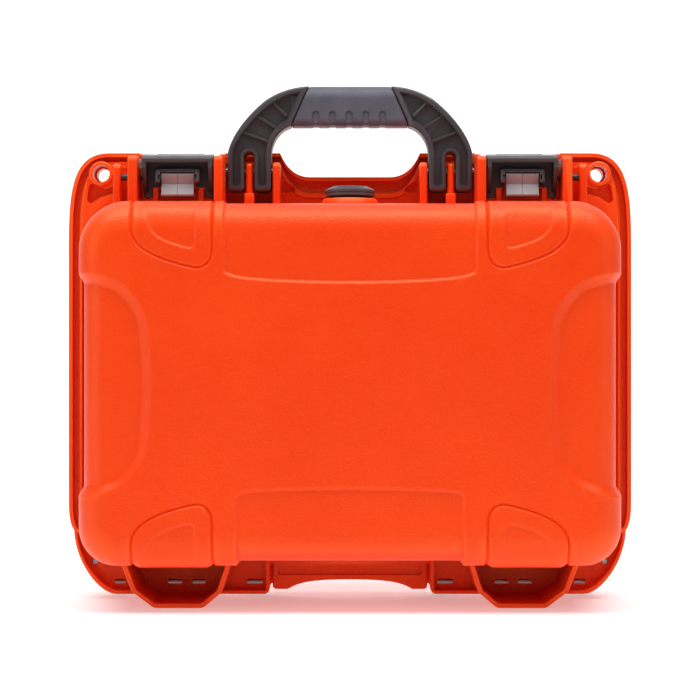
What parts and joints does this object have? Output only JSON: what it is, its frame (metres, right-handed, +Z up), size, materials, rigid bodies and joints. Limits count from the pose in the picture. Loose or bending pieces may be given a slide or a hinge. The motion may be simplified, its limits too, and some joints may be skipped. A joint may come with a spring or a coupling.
{
  "type": "hard equipment case",
  "caption": "Hard-shell carrying case with a hinged lid, two draw latches, a folding handle, a purge valve, padlock eyes and moulded feet, standing on its hinge side.",
  "frame": {"origin": "middle of the bounding box in X and Y, at the height of the feet it stands on", "axes": "+Z up with the handle at the top, +X across the case, +Y from the base's bottom face towards the lid"},
  "size_m": [0.424, 0.173, 0.381],
  "materials": {
    "shell_orange": "moulded satin with a fine texture",
    "black_nylon": "moulded satin",
    "grip_rubber": "soft touch",
    "lock_grey": "moulded satin",
    "seal_rubber": "matt",
    "black_pin": "blackened, smooth",
    "steel_pin": "drawn steel"
  },
  "bodies": {
    "base": {"base_shell": "shell_orange", "valve_seal": "seal_rubber", "valve_nut": "black_nylon", "hinge_pin_right": "steel_pin", "hinge_pin_left": "steel_pin", "hinge_screw_right": "steel_pin", "hinge_screw_left": "steel_pin", "handle_pin_right": "steel_pin", "handle_pin_left": "steel_pin", "latch_pin_right": "black_pin", "latch_pin_left": "black_pin"},
    "lid": {"lid_shell": "shell_orange", "lid_gasket": "seal_rubber"},
    "handle": {"handle_frame": "black_nylon", "handle_grip": "grip_rubber"},
    "valve": {"valve_cap": "black_nylon"},
    "lever_right": {"latch_lever_right": "black_nylon", "claw_pin_right": "steel_pin"},
    "lever_left": {"latch_lever_left": "black_nylon", "claw_pin_left": "steel_pin"},
    "claw_right": {"latch_claw_right": "black_nylon"},
    "claw_left": {"latch_claw_left": "black_nylon"},
    "lock_right": {"latch_slide_lock_right": "lock_grey"},
    "lock_left": {"latch_slide_lock_left": "lock_grey"}
  },
  "joints": [
    {"name": "lid_hinge", "type": "hinge", "parent": "base", "child": "lid", "pos_m": [0, 0.0415, 0.011], "axis": [-1, 0, 0], "range_deg": [0, 100]},
    {"name": "handle_fold", "type": "hinge", "parent": "base", "child": "handle", "pos_m": [0, 0.006, 0.3185], "axis": [1, 0, 0], "range_deg": [0, 90]},
    {"name": "valve_turn", "type": "hinge", "parent": "base", "child": "valve", "pos_m": [0, -0.01, 0.3], "axis": [0, 0, 1], "range_deg": [0, 90]},
    {"name": "latch_right_open", "type": "hinge", "parent": "base", "child": "lever_right", "pos_m": [0.125, -0.006, 0.313], "axis": [-1, 0, 0], "range_deg": [0, 50]},
    {"name": "latch_left_open", "type": "hinge", "parent": "base", "child": "lever_left", "pos_m": [-0.125, -0.006, 0.313], "axis": [-1, 0, 0], "range_deg": [0, 50]},
    {"name": "claw_right_swing", "type": "hinge", "parent": "lever_right", "child": "claw_right", "pos_m": [0.125, -0.009, 0.321], "axis": [1, 0, 0], "range_deg": [0, 75]},
    {"name": "claw_left_swing", "type": "hinge", "parent": "lever_left", "child": "claw_left", "pos_m": [-0.125, -0.009, 0.321], "axis": [1, 0, 0], "range_deg": [0, 75]},
    {"name": "lock_right_slide", "type": "slide", "parent": "lever_right", "child": "lock_right", "axis": [0, 1, 0], "range_m": [0, 0.0045]},
    {"name": "lock_left_slide", "type": "slide", "parent": "lever_left", "child": "lock_left", "axis": [0, 1, 0], "range_m": [0, 0.0045]}
  ],
  "couplings": [
    {"joint": "claw_right_swing", "follows": "latch_right_open", "ratio": 1.5},
    {"joint": "claw_left_swing", "follows": "latch_left_open", "ratio": 1.5}
  ]
}
